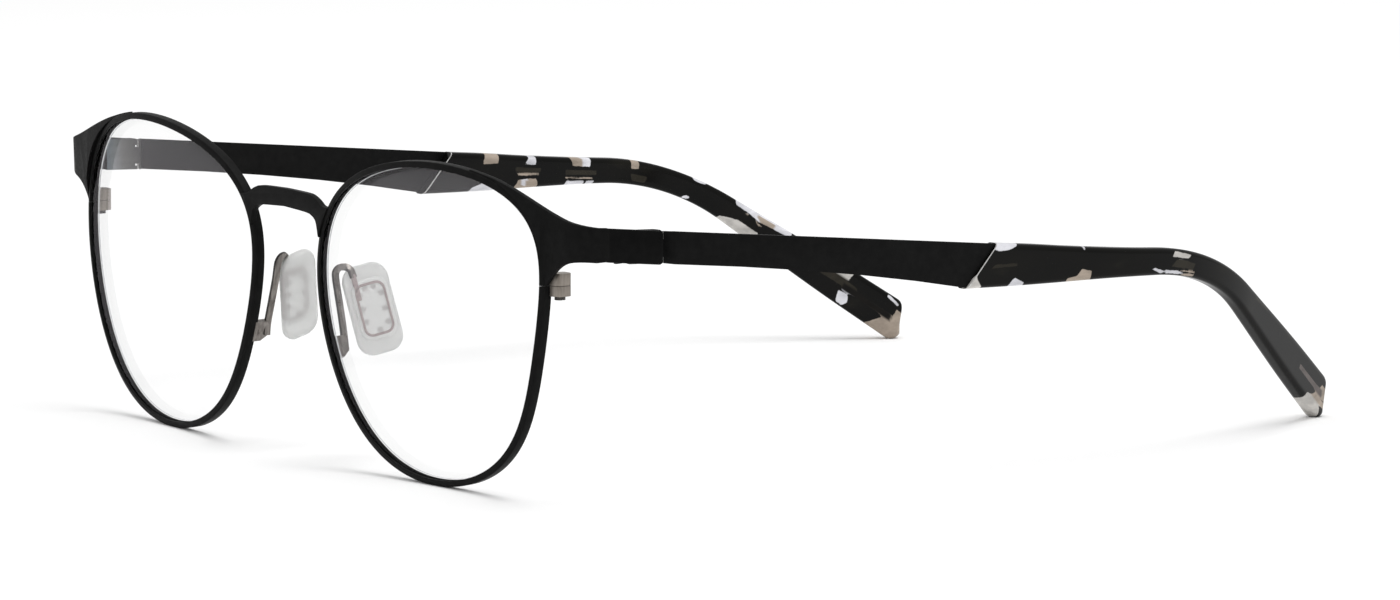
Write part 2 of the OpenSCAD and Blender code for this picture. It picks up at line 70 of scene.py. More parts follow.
def on_plane(p, q, d):
    """A point p across and q up on the curved front, and d behind it."""
    back = (p * p + q * q) / (2 * BASE_RADIUS) + d
    return Vector((LENS_X + p * cos(WRAP) + q * sin(WRAP) * sin(TILT) - back * sin(WRAP) * cos(TILT),
                   LENS_Y + p * sin(WRAP) - q * cos(WRAP) * sin(TILT) + back * cos(WRAP) * cos(TILT),
                   q * cos(TILT) + back * sin(TILT)))


RIM_OUTSIDE = ((RIM_W - EDGE_R, 0), (RIM_W, EDGE_R), (RIM_W, RIM_D - EDGE_R), (RIM_W - EDGE_R, RIM_D))
LENS_Z = -min(on_plane(*rim_edge(t, n), d).z for t in range(252, 289, 4) for n, d in RIM_OUTSIDE)


def front(pq, d):
    return on_plane(pq[0], pq[1], d) + Vector((0, 0, LENS_Z))


def steps(a, b, n):
    return [a + (b - a) * i / n for i in range(n + 1)]


def bezier(a, b, c, d, t):
    return (1 - t) ** 3 * a + 3 * (1 - t) ** 2 * t * b + 3 * (1 - t) * t * t * c + t ** 3 * d


# ---- Meshes -----------------------------------------------------------------
def put(v, side):
    return Vector((side * v[0], v[1] - DEPTH_MIDDLE, v[2])) * MM


def add_object(name, data):
    obj = bpy.data.objects.new(name, data)
    bpy.context.scene.collection.objects.link(obj)
    return obj


def add_piece(name, mesh, body, nodes):
    """A mesh as a piece that rides on a body and stands for CAD nodes."""
    obj = add_object(name, mesh)
    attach(obj, body)
    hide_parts(*nodes)
    return obj


def round_edges(bm, angle, width):
    """Rounds the edges that bend by more than an angle."""
    sharp = [e for e in bm.edges if e.is_manifold and e.calc_face_angle() > radians(angle)]
    bmesh.ops.bevel(bm, geom=sharp, offset=width * MM, offset_type="OFFSET", segments=3, profile=0.5,
                    affect="EDGES", clamp_overlap=True)


class Shape:
    """Vertices and faces of one piece, with a material number for each face."""

    def __init__(self):
        self.verts, self.faces, self.mats = [], [], []

    def loft(self, rings, mat=0, closed=False, capped=True):
        """Joins rings of points by faces, and gives the place of the first point."""
        n, base = len(rings[0]), len(self.verts)
        for ring in rings:
            self.verts += [Vector(p) for p in ring]
        count = len(rings)
        for i in range(count if closed else count - 1):
            for j in range(n):
                k, a, b = (j + 1) % n, base + i * n, base + (i + 1) % count * n
                self.faces.append((a + j, a + k, b + k, b + j))
                self.mats.append(mat)
        if capped and not closed:
            self.faces.append(tuple(base + j for j in reversed(range(n))))
            self.faces.append(tuple(base + (count - 1) * n + j for j in range(n)))
            self.mats += [mat, mat]
        return base

    def cap_to_point(self, base, n, point, mat=0, flip=False):
        self.verts.append(Vector(point))
        tip = len(self.verts) - 1
        for j in range(n):
            face = (base + j, base + (j + 1) % n, tip)
            self.faces.append(face[::-1] if flip else face)
            self.mats.append(mat)

    def piece(self, name, side, body, materials, replaces, sharp=38, values=None):
        mesh = bpy.data.meshes.new(name)
        mesh.from_pydata([put(v, side) for v in self.verts], [], self.faces)
        for m in materials:
            mesh.materials.append(m)
        mesh.polygons.foreach_set("material_index", self.mats)
        bm = bmesh.new()
        bm.from_mesh(mesh)
        bmesh.ops.recalc_face_normals(bm, faces=bm.faces)
        bm.to_mesh(mesh)
        bm.free()
        mesh.shade_smooth()
        mesh.set_sharp_from_angle(angle=radians(sharp))
        for label, kind, data in values or ():
            attribute = mesh.attributes.new(label, kind, "POINT")
            attribute.data.foreach_set("color" if kind == "FLOAT_COLOR" else "value", data)
        return add_piece(name, mesh, body, replaces)


def finished(node, name, body, materials, width, choose=None):
    """A copy of a CAD node's surface with its sharp edges rounded."""
    bm = bmesh.new()
    bm.from_mesh(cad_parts[node].data)
    bmesh.ops.remove_doubles(bm, verts=bm.verts, dist=0.002 * MM)
    bmesh.ops.dissolve_limit(bm, angle_limit=radians(1), verts=bm.verts, edges=bm.edges)
    round_edges(bm, 30, width)
    bmesh.ops.recalc_face_normals(bm, faces=bm.faces)
    for f in bm.faces:
        f.material_index = choose(f.calc_center_median() / MM, f.normal) if choose else 0
    mesh = bpy.data.meshes.new(name)
    bm.to_mesh(mesh)
    bm.free()
    for m in materials:
        mesh.materials.append(m)
    mesh.shade_smooth()
    mesh.set_sharp_from_angle(angle=radians(40))
    add_piece(name, mesh, body, [node])


def rounded(w, h, r, n):
    """A rounded rectangle as points, anticlockwise from the right."""
    points = []
    for cx, cy, start in ((1, 1, 0), (-1, 1, 90), (-1, -1, 180), (1, -1, 270)):
        for a in steps(start, start + 90, n):
            points.append(Vector((cx * (w / 2 - r) + r * cos(radians(a)),
                                  cy * (h / 2 - r) + r * sin(radians(a)))))
    return points


def arc_corner(cx, cy, r, start, n=3):
    return [(cx + r * cos(radians(a)), cy + r * sin(radians(a))) for a in steps(start, start + 90, n)]


# ---- Materials --------------------------------------------------------------
class Look:
    """A procedural material: a Principled shader and the nodes that vary it."""

    def __init__(self, name, **sockets):
        self.mat = bpy.data.materials.new(name)
        self.mat.use_nodes = True
        self.nodes, self.links = self.mat.node_tree.nodes, self.mat.node_tree.links
        self.shader = self.nodes["Principled BSDF"]
        for socket, value in sockets.items():
            self.shader.inputs[socket.replace("_", " ")].default_value = value
        self.place = self.nodes.new("ShaderNodeTexCoord").outputs["Object"]

    def link(self, a, b):
        self.links.new(a, b)

    def noise(self, scale, detail=3.0, stretch=(1, 1, 1), rough=0.5):
        mapping = self.nodes.new("ShaderNodeMapping")
        mapping.inputs["Scale"].default_value = stretch
        self.link(self.place, mapping.inputs["Vector"])
        n = self.nodes.new("ShaderNodeTexNoise")
        n.inputs["Scale"].default_value = scale
        n.inputs["Detail"].default_value = detail
        n.inputs["Roughness"].default_value = rough
        self.link(mapping.outputs["Vector"], n.inputs["Vector"])
        return n.outputs["Fac"]

    def ramp(self, value, *stops):
        r = self.nodes.new("ShaderNodeValToRGB")
        while len(r.color_ramp.elements) < len(stops):
            r.color_ramp.elements.new(0.5)
        for element, (position, colour) in zip(r.color_ramp.elements, stops):
            element.position = position
            element.color = (*colour, 1)
        self.link(value, r.inputs["Fac"])
        return r.outputs["Color"]

    def remap(self, value, a, b, low=0.3, high=0.7):
        m = self.nodes.new("ShaderNodeMapRange")
        for socket, x in zip(("From Min", "From Max", "To Min", "To Max"), (low, high, a, b)):
            m.inputs[socket].default_value = x
        self.link(value, m.inputs["Value"])
        return m.outputs["Result"]

    def bump(self, value, distance_mm, strength=1.0):
        b = self.nodes.new("ShaderNodeBump")
        b.inputs["Strength"].default_value = strength
        b.inputs["Distance"].default_value = distance_mm * MM
        self.link(value, b.inputs["Height"])
        self.link(b.outputs["Normal"], self.shader.inputs["Normal"])

    def set(self, socket, output):
        self.link(output, self.shader.inputs[socket])

    def math(self, operation, first, second, third=0.0):
        """A Math node on an output and two numbers or outputs."""
        m = self.nodes.new("ShaderNodeMath")
        m.operation = operation
        self.link(first, m.inputs[0])
        for i, x in ((1, second), (2, third)):
            if isinstance(x, (int, float)):
                m.inputs[i].default_value = x
            else:
                self.link(x, m.inputs[i])
        return m.outputs[0]

    def scaled(self, colour, factor):
        shade = self.nodes.new("ShaderNodeVectorMath")
        shade.operation = "SCALE"
        self.link(colour, shade.inputs[0])
        self.link(factor, shade.inputs["Scale"])
        return shade.outputs[0]

    def shader_node(self, kind, colour=None):
        """A bare shader in place of the Principled one, with its colour varied or left."""
        node = self.nodes.new(kind)
        if colour:
            self.link(colour, node.inputs["Color"])
        return node

    def show(self, shader):
        """Drops the Principled shader and shows another one."""
        self.nodes.remove(self.shader)
        self.link(shader, self.nodes["Material Output"].inputs["Surface"])


def enamel(name, low, high, rough):
    """Matte black enamel: slightly uneven gloss with a fine orange-peel grain."""
    look = Look(name, Specular_IOR_Level=0.045)
    tone = look.ramp(look.noise(900, 4), (0.3, (low,) * 3), (0.7, (high, high, high * 0.98)))
    look.set("Base Color", tone)
    look.set("Roughness", look.remap(look.noise(2600, 2), rough - 0.05, rough + 0.06))
    look.bump(look.noise(7000, 2), 0.004, 0.5)
    return look.mat


def brushed(name, dark, light, rough, stretch, metallic=0.85):
    """Brushed metal: streaks along the direction that stretch makes long."""
    look = Look(name, Metallic=metallic)
    streaks = look.noise(2200, 4, stretch)
    look.set("Base Color", look.ramp(streaks, (0.3, dark), (0.72, light)))
    look.set("Roughness", look.remap(streaks, rough - 0.07, rough + 0.09))
    look.bump(streaks, 0.006, 0.4)
    return look.mat


BLACK = enamel("black_enamel", 0.0048, 0.0075, 0.46)
# a darker copy of the same enamel: painted shade for the lug, whose face turns sideways
BLACK_SHADED_LUG = enamel("black_enamel_painted_shade", 0.0022, 0.0042, 0.4)
ARM = brushed("pad_arm_steel", (0.1, 0.088, 0.08), (0.27, 0.25, 0.232), 0.32, (1, 1, 0.06))
ARM_EDGE = brushed("pad_arm_cut_edge", (0.02, 0.018, 0.018), (0.05, 0.046, 0.043), 0.4, (1, 1, 0.12))
RING = brushed("pad_ring_steel", (0.3, 0.24, 0.24), (0.42, 0.35, 0.345), 0.5, (1, 1, 1), 0.2)
BLOCK = brushed("block_steel", (0.2, 0.175, 0.15), (0.33, 0.295, 0.26), 0.42, (1, 1, 0.15), 0.7)
SCREW = brushed("screw_steel", (0.035, 0.032, 0.03), (0.08, 0.075, 0.07), 0.35, (1, 1, 1))
# pale steel: bare cut metal in the temple's slots, and a painted highlight along the acetate tip's seam
SEAM_HIGHLIGHT_AND_BARE_EDGE = brushed("seam_highlight_and_bare_edge", (0.42, 0.41, 0.4), (0.6, 0.6, 0.59), 0.3, (1, 1, 1), 0.6)


# Where the plate's painted sheen starts and its painted shade ends, along the part's own depth in metres.
PLATE_SHEEN_FROM, PLATE_SHADE_TO = -0.0602, -0.0532


def plate_sheen_material():
    """The hinge plate's bare inner face: a painted sheen, pale at the hinge, turning to painted shade,
    darker towards the strip.
    """
    look = Look("hinge_plate_steel_painted_sheen", Metallic=0.55)
    along = look.nodes.new("ShaderNodeSeparateXYZ")
    look.link(look.place, along.inputs["Vector"])
    # painted light along the depth: a pale sheen at the hinge, dark shade at the bend into the strip
    tone = look.ramp(look.remap(along.outputs["Y"], 0, 1, PLATE_SHEEN_FROM, PLATE_SHADE_TO),
                     (0.0, (0.12, 0.15, 0.17)), (0.2, (0.15, 0.165, 0.17)), (0.42, (0.085, 0.087, 0.08)),
                     (0.8, (0.035, 0.034, 0.032)), (1.0, (0.012, 0.0118, 0.0118)))
    streaks = look.noise(2200, 4, (1, 0.12, 1))
    look.set("Base Color", look.scaled(tone, look.remap(streaks, 0.85, 1.15)))
    look.set("Roughness", look.remap(streaks, 0.34, 0.5))
    look.bump(streaks, 0.005, 0.4)
    return look.mat


SHEENED_PLATE = plate_sheen_material()


def mixed(look, share, first, second):
    """Two shaders mixed, with share as the second one's part: a number or an output."""
    mix = look.nodes.new("ShaderNodeMixShader")
    if isinstance(share, float):
        mix.inputs["Fac"].default_value = share
    else:
        look.link(share, mix.inputs["Fac"])
    look.link(first, mix.inputs[1])
    look.link(second, mix.inputs[2])
    return mix.outputs["Shader"]


def lens_material(name, least, most, film=0.0):
    """A clear lens face. It mirrors a share that grows towards grazing views, and film is the share of a
    pale diffuse layer on it: a painted reflection that lightens what shows through the lens."""
    look = Look(name)
    facing = look.nodes.new("ShaderNodeLayerWeight")
    facing.inputs["Blend"].default_value = 0.5
    share = look.math("MULTIPLY_ADD", look.math("POWER", facing.outputs["Facing"], 5), most - least, least)
    clear = look.shader_node("ShaderNodeBsdfTransparent")
    clear.inputs["Color"].default_value = (0.99, 0.992, 0.99, 1)
    coat = look.ramp(look.noise(45, 2), (0.35, (0.93, 0.89, 0.94)), (0.65, (0.98, 0.94, 0.99)))
    gloss = look.shader_node("ShaderNodeBsdfGlossy", coat)
    gloss.inputs["Roughness"].default_value = 0.02
    # painted reflection: a pale diffuse layer that lightens what is seen through the lens
    painted_reflection_tone = look.ramp(look.noise(60, 2), (0.3, (0.86, 0.84, 0.87)), (0.7, (0.93, 0.91, 0.94)))
    painted_reflection = look.shader_node("ShaderNodeBsdfDiffuse", painted_reflection_tone)
    through = mixed(look, film, clear.outputs["BSDF"], painted_reflection.outputs["BSDF"])
    look.show(mixed(look, share, through, gloss.outputs["BSDF"]))
    return look.mat


def lens_wall_material():
    """The lens's bevel inside the groove: only a faint grey film, so that the rim shows."""
    look = Look("lens_bevel_clear")
    tone = look.ramp(look.noise(900, 2), (0.3, (0.93, 0.935, 0.94)), (0.7, (0.98, 0.982, 0.985)))
    look.show(look.shader_node("ShaderNodeBsdfTransparent", tone).outputs["BSDF"])
    return look.mat


def lens_edge_material():
    """The thin ground band of the lens's edge behind the rim."""
    look = Look("lens_ground_edge", Roughness=0.5, IOR=1.5)
    tone = look.ramp(look.noise(1800, 3), (0.3, (0.5, 0.51, 0.52)), (0.7, (0.68, 0.69, 0.7)))
    look.set("Base Color", tone)
    look.bump(look.noise(6000, 2), 0.004, 0.5)
    return look.mat


def silicone_material():
    """Frosted silicone: light passes but blurs, with a fine moulded texture."""
    look = Look("silicone_frosted", IOR=1.25, Transmission_Weight=0.5, Specular_IOR_Level=0.3)
    tone = look.ramp(look.noise(260, 3), (0.3, (0.76, 0.765, 0.755)), (0.7, (0.81, 0.813, 0.805)))
    look.set("Base Color", tone)
    look.set("Roughness", look.remap(look.noise(1500, 3), 0.6, 0.7))
    look.bump(look.noise(5200, 2), 0.003, 0.4)
    return look.mat


RAGGED = 0.28


def acetate_material():
    """Polished black acetate with pale chips. The mesh says how far inside a chip each point is."""
    look = Look("acetate_flecked", Specular_IOR_Level=0.1, Roughness=0.14)
    inside = look.nodes.new("ShaderNodeAttribute")
    inside.attribute_name = "chip_depth"
    tint = look.nodes.new("ShaderNodeAttribute")
    tint.attribute_name = "chip_tint"
    # ragged edges: noise moves the chip's border by up to half of RAGGED millimetres
    ragged = look.math("MULTIPLY_ADD", look.noise(1300, 4, rough=0.6), RAGGED, inside.outputs["Fac"])
    mask = look.remap(look.math("SUBTRACT", ragged, RAGGED / 2), 0, 1, -0.05, 0.05)
    body = look.ramp(look.noise(240, 4, (1, 0.35, 1)), (0.35, (0.003, 0.003, 0.0028)),
                     (0.62, (0.0048, 0.0045, 0.0038)), (0.78, (0.012, 0.011, 0.008)))
    cloud = look.remap(look.noise(700, 4, (1, 0.3, 1)), 0.66, 1.12)
    mix = look.nodes.new("ShaderNodeMix")
    mix.data_type = "RGBA"
    look.link(mask, mix.inputs["Factor"])
    look.link(body, mix.inputs["A"])
    look.link(look.scaled(tint.outputs["Color"], cloud), mix.inputs["B"])
    look.set("Base Color", mix.outputs["Result"])
    return look.mat


LENS_FACE = lens_material("lens_front_clear", 0.006, 0.15)
LENS_BACK = lens_material("lens_back_clear", 0.03, 0.4, film=0.075)
LENS_WALL, LENS_EDGE = lens_wall_material(), lens_edge_material()
SILICONE, ACETATE = silicone_material(), acetate_material()


# ---- Rims and lenses --------------------------------------------------------
def rim_section():
    r = EDGE_R
    return (arc_corner(r, r, r, 180) + arc_corner(RIM_W - r, r, r, 270)
            + arc_corner(RIM_W - r, RIM_D - r, r, 0) + arc_corner(r, RIM_D - r, r, 90)
            + [(0, RIM_D / 2 + GROOVE_HALF), (GROOVE, RIM_D / 2), (0, RIM_D / 2 - GROOVE_HALF)])


def make_rim(label, side):
    shape = Shape()
    section = rim_section()
    angles = steps(CUT_ANGLE + CUT_HALF, CUT_ANGLE + 360 - CUT_HALF, 420)
    shape.loft([[front(rim_edge(t, n), d) for n, d in section] for t in angles])
    shape.piece(f"rim_{label}", side, "front", [BLACK], [f"eyewire_{label}"])


# The lens stands this far inside the opening; half the width of its bevel.
LENS_GAP, BEVEL_HALF = -0.05, 0.33


def make_lens(label, side):
    shape = Shape()
    count = 240
    back = LENS_FRONT + LENS_T

    def ring(n, d, f=1.0):
        return [front(f * rim_edge(360 * j / count, n), d) for j in range(count)]

    face = [ring(LENS_GAP, LENS_FRONT, f) for f in steps(0.08, 0.99, 14)]
    rear = [ring(LENS_GAP, back, f) for f in steps(0.99, 0.08, 14)]
    brink = ring(LENS_GAP, LENS_FRONT + 0.02)
    first = shape.loft(face + [brink], capped=False)
    shape.cap_to_point(first, count, front((0, 0), LENS_FRONT), flip=True)
    shape.loft([brink, ring(LENS_GAP, RIM_D / 2 - BEVEL_HALF), ring(GROOVE - 0.1, RIM_D / 2),
                ring(LENS_GAP, RIM_D / 2 + BEVEL_HALF), ring(LENS_GAP, RIM_D)], mat=1, capped=False)
    shape.loft([ring(LENS_GAP, RIM_D), ring(LENS_GAP, back - 0.05), ring(LENS_GAP - 0.04, back)], mat=2,
               capped=False)
    second = shape.loft([ring(LENS_GAP - 0.04, back)] + rear, mat=3, capped=False)
    shape.cap_to_point(second + len(rear) * count, count, front((0, 0), back), mat=3)
    obj = shape.piece(f"clear_lens_{label}", side, "front",
                      [LENS_FACE, LENS_WALL, LENS_EDGE, LENS_BACK], [f"lens_{label}"])
    bm = bmesh.new()
    bm.from_mesh(obj.data)
    bmesh.ops.remove_doubles(bm, verts=bm.verts, dist=0.0005 * MM)
    bmesh.ops.recalc_face_normals(bm, faces=bm.faces)
    bm.to_mesh(obj.data)
    bm.free()
    obj.data.set_sharp_from_angle(angle=radians(38))


# ---- Bridge -----------------------------------------------------------------
BRIDGE_TOP = [(0, 38), (5.7, 37.85), (7.4, 37.55), (8.7, 37), (9.8, 36.4), (12, 36.2)]
BRIDGE_LOW = [(0, 35.45), (5.6, 35.15), (7.2, 34.8), (8.1, 34.2), (8.5, 33.2), (8.75, 32.2),
              (9.2, 31.4), (10.2, 30.9), (12, 30.7)]
BRIDGE_FRONT, BRIDGE_T = -0.95, 0.95


def smooth_line(points, n):
    """A Catmull-Rom curve through the points."""
    out = []
    last = len(points) - 1
    for i in range(last):
        p = [Vector(points[max(0, min(last, i + k))]) for k in (-1, 0, 1, 2)]
        for t in steps(0, 1, n)[:-1]:
            out.append(0.5 * (2 * p[1] + (p[2] - p[0]) * t + (2 * p[0] - 5 * p[1] + 4 * p[2] - p[3]) * t * t
                              + (3 * p[1] - p[0] - 3 * p[2] + p[3]) * t ** 3))
    return out + [Vector(points[-1])]


def cut_at_rim(line, edge):
    """Ends a line of (x, z) points where it meets the rim's edge seen from the front."""
    kept = []
    for p in line:
        limit = min(edge, key=lambda e: abs(e.z - p.y)).x
        if p.x >= limit:
            break
        kept.append(p)
    return kept


def bridge_piece():
    """The sheet arch: its outline from the front, as thick as the sheet, with rounded edges."""
    edge = [front(rim_edge(t, RIM_W * 0.55), RIM_D / 2) for t in range(120, 200)]
    top, low = (cut_at_rim(smooth_line(x, 6), edge) for x in (BRIDGE_TOP, BRIDGE_LOW))
    z1, z0 = top[-1].y, low[-1].y
    side_line = [Vector((e.x, e.z)) for e in edge if z0 < e.z < z1]
    half = low[1:] + sorted(side_line, key=lambda p: p.y) + top[:0:-1]
    ring = [low[0]] + half + [top[0]] + [Vector((-p.x, p.y)) for p in reversed(half)]
    bm = bmesh.new()
    loops = []
    for y in (BRIDGE_FRONT, BRIDGE_FRONT + BRIDGE_T):
        loops.append([bm.verts.new(put((p.x, y, p.y), 1)) for p in ring])
    n = len(ring)
    bm.faces.new(loops[0])
    bm.faces.new(loops[1][::-1])
    for i in range(n):
        k = (i + 1) % n
        bm.faces.new((loops[0][i], loops[0][k], loops[1][k], loops[1][i]))
    bmesh.ops.recalc_face_normals(bm, faces=bm.faces)
    round_edges(bm, 60, 0.13)
    mesh = bpy.data.meshes.new("bridge_arch")
    bm.to_mesh(mesh)
    bm.free()
    mesh.materials.append(BLACK)
    mesh.shade_smooth()
    mesh.set_sharp_from_angle(angle=radians(38))
    add_piece("bridge_arch", mesh, "front", ["bridge"])


# ---- Endpieces --------------------------------------------------------------
LUG_T, LUG_X, LUG_END = 0.75, 69.2, 15.7
WING_FRONT, SLOPE, BEND_R, BEND_FROM, BEND_GAP = 0.2, tan(radians(6)), 0.8, 40, 0.75
LUG_TOP, LUG_BOTTOM, WING_SPLIT, WING_END = 38.6, 34.0, 0.7, 33.2
UPRIGHT_FROM, FLAT_FROM, TURN_FROM, TURN_RADIUS = 14.5, 16, 28.8, 6.2
FLUSH_BELOW, FLUSH_FADE = 7, 4
SHEET_EDGE, WING_TOP_ANGLE = 0.12, 72


def wing_point(pq, d):
    """A point of the wing, which leaves the lens's curve and turns back towards the lug."""
    p, q = pq
    upright = max(p - UPRIGHT_FROM, 0) / (WING_END - UPRIGHT_FROM)
    free = min((q - FLUSH_BELOW) / FLUSH_FADE, 1)
    return front(pq, d + max(p - TURN_FROM, 0) ** 2 / (2 * TURN_RADIUS)
                 - free * (upright * q * q + max(p - FLAT_FROM, 0) ** 2) / (2 * BASE_RADIUS))


def sheet_ring(a, b, back):
    """The section of a bent sheet from point a to b. Back is its thickness, as a vector."""
    along = (b - a).normalized()
    e = min(SHEET_EDGE, 0.4 * (b - a).length)
    t = back.length
    inward = back.normalized()
    c = min(SHEET_EDGE, 0.4 * t)
    ring = []
    for corner, u, v in ((a, along, inward), (b, -along, inward)):
        first = [corner + e * u, corner + 0.3 * e * u + 0.3 * c * v, corner + c * v]
        second = [corner + (t - c) * v, corner + (t - 0.3 * c) * v + 0.3 * e * u, corner + t * v + e * u]
        ring.append(first + second)
    return ring[0] + ring[1][::-1]


def make_endpiece(label, side):
    shape = Shape()
    upper = [Vector(x) for x in (rim_edge(WING_TOP_ANGLE, RIM_W + 0.15), (21.6, 20.3), (24.8, 17.3),
                                 (WING_END, 15.95))]
    corner = rim_edge(CUT_ANGLE + CUT_HALF, RIM_W)
    lower = [Vector(x) for x in (corner, (26.9, 10.1), (28.6, 11.65), (WING_END, 11.2))]
    rings = []

    def add(low, high):
        a, b = wing_point(low, WING_FRONT), wing_point(high, WING_FRONT)
        back = wing_point(low, WING_FRONT + LUG_T) - a
        rings.append(sheet_ring(a, b, back))

    for f in steps(0, 1, 60):
        t = WING_TOP_ANGLE + (CUT_ANGLE + CUT_HALF - WING_TOP_ANGLE) * f
        add(rim_edge(t, RIM_W), bezier(*upper, WING_SPLIT * f))
    for f in steps(0, 1, 28)[1:]:
        add(bezier(*lower, f), bezier(*upper, WING_SPLIT + (1 - WING_SPLIT) * f))
    end = wing_point((WING_END, 13.8), WING_FRONT)
    centre = Vector((LUG_X - BEND_R, end.y + BEND_GAP + BEND_R * cos(radians(BEND_FROM))))

    def lug(x, y, angle, bottom, top):
        a, b = Vector((x, y, bottom)), Vector((x, y, top))
        back = LUG_T * Vector((-sin(radians(angle)), cos(radians(angle)), 0))
        rings.append(sheet_ring(a, b, back))

    def drop(y):
        return SLOPE * (y - centre.y)

    for angle in steps(BEND_FROM, 90, 12):
        x, y = centre + BEND_R * Vector((sin(radians(angle)), -cos(radians(angle))))
        lug(x, y, angle, LUG_BOTTOM - drop(y), LUG_TOP - drop(y))
    for y, lift, fall in ((LUG_END - 0.5, 0, 0), (LUG_END - 0.3, 0.06, 0), (LUG_END - 0.08, 0.22, 0.03),
                          (LUG_END, 0.32, 0.12)):
        lug(LUG_X, y, 90, LUG_BOTTOM - drop(y) + lift, LUG_TOP - drop(y) - fall)
    shape.loft(rings)
    # the lug, from the bend backwards, gets a darker copy of the enamel: painted shade on its sideways face
    for i, face in enumerate(shape.faces):
        if all(shape.verts[k].y > centre.y - 0.12 and shape.verts[k].x > LUG_X - 0.2 for k in face):
            shape.mats[i] = 1
    shape.piece(f"endpiece_sheet_{label}", side, "front", [BLACK, BLACK_SHADED_LUG],
                [f"endpiece_{label}"])


# ---- Nose pads and their arms -----------------------------------------------
PAD_CENTRE, PAD_LEAN, PAD_PITCH, PAD_SPLAY = Vector((9.8, 7.5, 21.4)), 11, 10, 13
PAD_W, PAD_H, PAD_T, BOSS_T = 6.8, 12.8, 1.9, 0.55
PAD_CORNER, PAD_CROWN, BOSS_CORNER = 2.3, 0.16, 1.6
FACE_EDGE_R, REAR_EDGE_R, BOSS_FILLET_R, BOSS_EDGE_R = 0.55, 0.4, 0.2, 0.22
RING_W, RING_H, RING_BAND, RING_T, STEM_X = 4.6, 7.6, 0.4, 0.45, -1.75
TABS = ((-1, 0.72), (-0.35, 1), (0.45, 1), (1, 0.62), (1, -0.1), (1, -0.72), (0.1, -1), (-1, -0.5),
        (-1, 0.1))
ARM_ROUTE = ((10.35, 2.6, 15.9), (10.05, 2.6, 17.7), (9.1, 2.7, 20.9), (8.1, 2.75, 24.1),
             (7.6, 2.75, 26.1), (7.5, 2.95, 26.8), (7.6, 3.4, 27.25), (7.85, 3.95, 27.35),
             (8.2, 4.35, 27.25), (8.6, 4.55, 27), (8.85, 4.65, 26.6), (9.08, 4.8, 25.9))
ARM_W, ARM_T, ARM_SIDE = 0.95, 0.6, Vector((0.92, 0.05, 0.3))
# The foot: its place and length round the rim in degrees, how far out it is, its thickness and depth.
FOOT_ANGLE, FOOT_SPAN, FOOT_OUT, FOOT_T, FOOT_NEAR, FOOT_FAR = 186.4, 7.6, 0.56, 0.84, 1.05, 3.4


def turn(axis, angle):
    return Matrix.Rotation(radians(angle), 4, axis)


PAD_FRAME = (Matrix.Translation(PAD_CENTRE) @ turn("X", PAD_PITCH) @ turn("Y", -PAD_LEAN)
             @ turn("Z", -PAD_SPLAY) @ turn("Z", 90) @ turn("X", 90))


def in_pad(x, y, z):
    return PAD_FRAME @ Vector((x, y, z))


def quarter(r, a):
    """Along a rounded edge of radius r: how far in, and how far along, at an angle from 0 to 90."""
    return r * (1 - cos(radians(a))), r * sin(radians(a))


def make_pad(label, side):
    """The moulded pad: a crowned face towards the nose, soft edges, and a raised boss round the ring."""
    shape = Shape()
    face, rear, boss = -PAD_T / 2, PAD_T / 2 - BOSS_T, PAD_T / 2 - 0.06
    boss_w, boss_h = RING_W + 0.75, RING_H + 0.85
    levels = []
    for f in steps(0.1, 0.82, 8):
        levels.append((PAD_W * f, PAD_H * f, PAD_CORNER * f, face + PAD_CROWN * f * f))
    for a in steps(0, 90, 6):
        rise, along = quarter(FACE_EDGE_R, a)
        inset = FACE_EDGE_R - along
        levels.append((PAD_W - 2 * inset, PAD_H - 2 * inset, PAD_CORNER - inset * 0.6,
                       face + PAD_CROWN + rise))
    for a in steps(0, 90, 5):
        inset, rise = quarter(REAR_EDGE_R, a)
        levels.append((PAD_W - 2 * inset, PAD_H - 2 * inset, PAD_CORNER - inset, rear - REAR_EDGE_R + rise))
    for a in steps(0, 90, 4):
        grow, along = quarter(BOSS_FILLET_R, a)
        spread = 2 * (BOSS_FILLET_R - along)
        levels.append((boss_w + spread, boss_h + spread, BOSS_CORNER + 0.05, rear + grow))
    for a in steps(0, 90, 4):
        inset, rise = quarter(BOSS_EDGE_R, a)
        levels.append((boss_w - 2 * inset, boss_h - 2 * inset, BOSS_CORNER - inset,
                       boss - BOSS_EDGE_R + rise))
    for f in steps(0.8, 0.12, 6):
        levels.append((boss_w * f, boss_h * f, 1.4 * f, boss))
    rings = [[in_pad(p.x, p.y, z) for p in rounded(w, h, rad, 8)] for w, h, rad, z in levels]
    shape.loft(rings)
    shape.piece(f"silicone_pad_{label}", side, "front", [SILICONE], [f"nose_pad_{label}"],
                sharp=50)


def strip_sides(route, i):
    """The strip's across and up directions at a point of its route."""
    along = (route[min(i + 1, len(route) - 1)] - route[max(i - 1, 0)]).normalized()
    across = (ARM_SIDE - ARM_SIDE.dot(along) * along).normalized()
    return across, along.cross(across)


def arm_strip(shape):
    """The post and its loop: a flat strip swept along the route, its narrow sides dark."""
    route = smooth_line(ARM_ROUTE, 8)
    rings = []
    for i, place in enumerate(route):
        across, up = strip_sides(route, i)
        rings.append([place + p.x * across + p.y * up for p in rounded(ARM_T, ARM_W, 0.1, 3)])
    shape.loft(rings)
    for i, face in enumerate(shape.faces):
        centre = sum((shape.verts[k] for k in face), Vector()) / len(face)
        j = min(range(len(route)), key=lambda k: (route[k] - centre).length)
        if abs((centre - route[j]).dot(strip_sides(route, j)[0])) < ARM_T * 0.38:
            shape.mats[i] = 1


